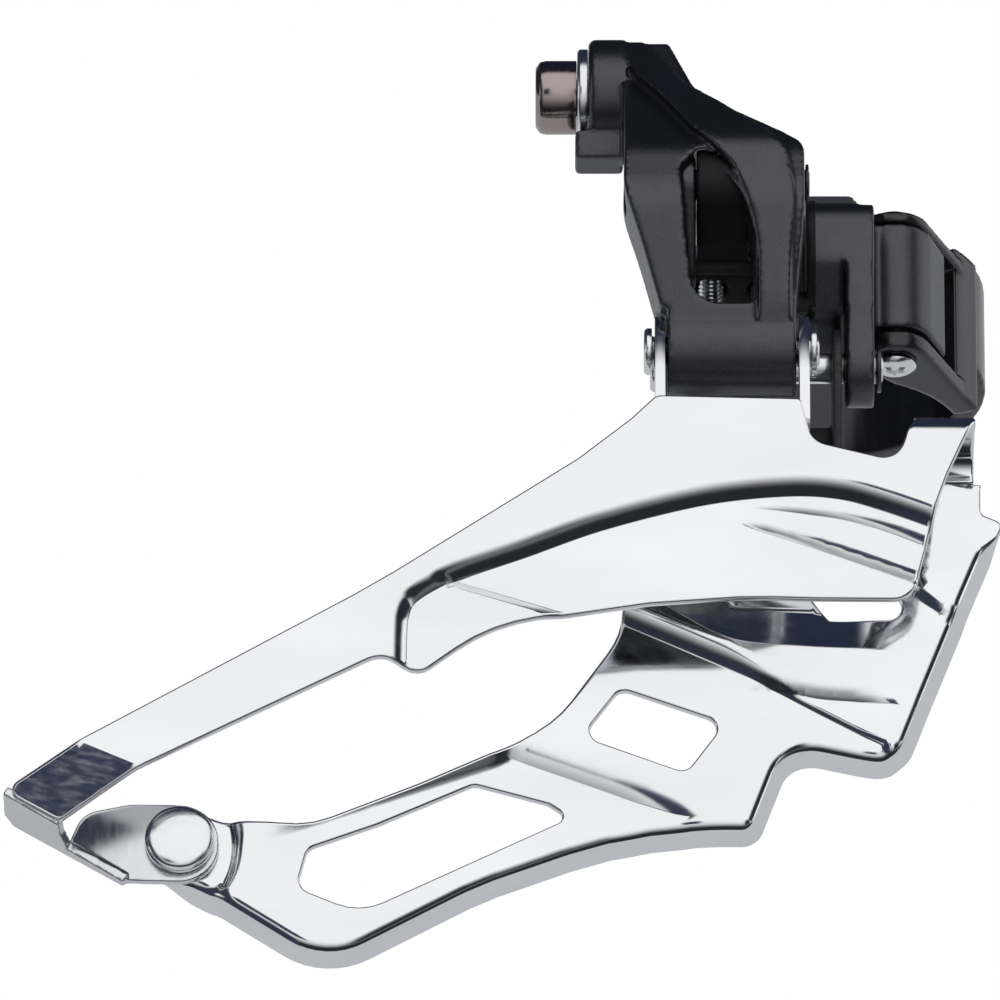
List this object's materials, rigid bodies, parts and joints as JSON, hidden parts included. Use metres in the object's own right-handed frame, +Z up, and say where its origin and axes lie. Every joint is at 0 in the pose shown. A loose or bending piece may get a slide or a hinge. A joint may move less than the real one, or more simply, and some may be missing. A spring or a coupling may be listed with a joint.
{
  "type": "front derailleur",
  "caption": "Band-on bicycle front derailleur: hinged seat tube clamp, parallelogram links with cable arm, and a bright stamped chain cage with a stepped inner plate.",
  "frame": {"origin": "on the seat tube's axis, at the height of the clamp bolt", "axes": "+X forward along the bicycle, +Y inboard towards the bicycle's middle plane, +Z up the seat tube"},
  "size_m": [0.1096, 0.0756, 0.1169],
  "materials": {
    "cage": "bright chromed sheet steel",
    "tail_rivet": "zinc plated",
    "outer_link": "satin black metallic paint",
    "inner_link": "satin black metallic paint",
    "clamp_body": "satin black metallic paint",
    "clamp_band": "gloss black paint",
    "band_hinge_pin": "zinc plated",
    "clamp_bolt": "zinc plated",
    "clamp_nut": "zinc plated",
    "clamp_washer": "zinc plated",
    "outer_link_body_pin": "zinc plated",
    "body_pin_clip": "zinc plated",
    "outer_link_cage_pin": "zinc plated",
    "cage_pin_clip": "zinc plated",
    "inner_link_body_pin": "zinc plated",
    "inner_pin_clip": "zinc plated",
    "inner_link_cage_pin": "zinc plated",
    "cage_inner_pin_clip": "zinc plated",
    "low_limit_screw": "zinc plated",
    "high_limit_screw": "zinc plated",
    "cable_anchor_bolt": "dark nickel plate",
    "cable_clamp_washer": "zinc plated",
    "return_spring": "zinc plated"
  },
  "bodies": {
    "clamp_body": {"clamp_body": "clamp_body", "band_hinge_pin": "band_hinge_pin", "clamp_nut": "clamp_nut", "inner_link_body_pin": "inner_link_body_pin", "inner_pin_clip": "inner_pin_clip", "return_spring": "return_spring"},
    "clamp_band": {"clamp_band": "clamp_band", "clamp_washer": "clamp_washer"},
    "clamp_bolt": {"clamp_bolt": "clamp_bolt"},
    "outer_link": {"outer_link": "outer_link", "cable_clamp_washer": "cable_clamp_washer", "outer_link_body_pin": "outer_link_body_pin", "body_pin_clip": "body_pin_clip"},
    "cable_anchor_bolt": {"cable_anchor_bolt": "cable_anchor_bolt"},
    "inner_link": {"inner_link": "inner_link"},
    "cage": {"cage": "cage", "tail_rivet": "tail_rivet", "outer_link_cage_pin": "outer_link_cage_pin", "cage_pin_clip": "cage_pin_clip", "inner_link_cage_pin": "inner_link_cage_pin", "cage_inner_pin_clip": "cage_inner_pin_clip"},
    "low_limit_screw": {"low_limit_screw": "low_limit_screw"},
    "high_limit_screw": {"high_limit_screw": "high_limit_screw"}
  },
  "joints": [
    {"name": "outer_link_swing", "type": "hinge", "parent": "clamp_body", "child": "outer_link", "pos_m": [-0.0106, -0.041, -0.0006], "axis": [-1, 0, 0], "range_deg": [0, 46]},
    {"name": "inner_link_swing", "type": "hinge", "parent": "clamp_body", "child": "inner_link", "pos_m": [-0.006, -0.025, -0.0154], "axis": [-1, 0, 0], "range_deg": [0, 46], "deforming": ["return_spring"]},
    {"name": "cage_pivot", "type": "hinge", "parent": "outer_link", "child": "cage", "pos_m": [-0.0106, -0.0375, -0.0195], "axis": [-1, 0, 0], "range_deg": [-46, 0]},
    {"name": "band_hinge", "type": "hinge", "parent": "clamp_body", "child": "clamp_band", "pos_m": [0.0079, -0.0196, 0], "axis": [0, 0, -1], "range_deg": [0, 1.5]},
    {"name": "clamp_bolt_turn", "type": "hinge", "parent": "clamp_band", "child": "clamp_bolt", "pos_m": [-0.00787, 0.02161, 0], "axis": [-0.9397, -0.342, 0], "continuous": true},
    {"name": "cable_anchor_turn", "type": "hinge", "parent": "outer_link", "child": "cable_anchor_bolt", "pos_m": [-0.029, -0.025, 0.0185], "axis": [1, 0, 0], "continuous": true},
    {"name": "low_limit_turn", "type": "hinge", "parent": "clamp_body", "child": "low_limit_screw", "pos_m": [-0.0128, -0.0315, -0.0043], "axis": [0, 0, -1], "continuous": true},
    {"name": "high_limit_turn", "type": "hinge", "parent": "clamp_body", "child": "high_limit_screw", "pos_m": [-0.0069, -0.0315, -0.0043], "axis": [0, 0, -1], "continuous": true}
  ],
  "couplings": [
    {"joint": "inner_link_swing", "follows": "outer_link_swing", "ratio": 1},
    {"joint": "cage_pivot", "follows": "outer_link_swing", "ratio": -1}
  ]
}
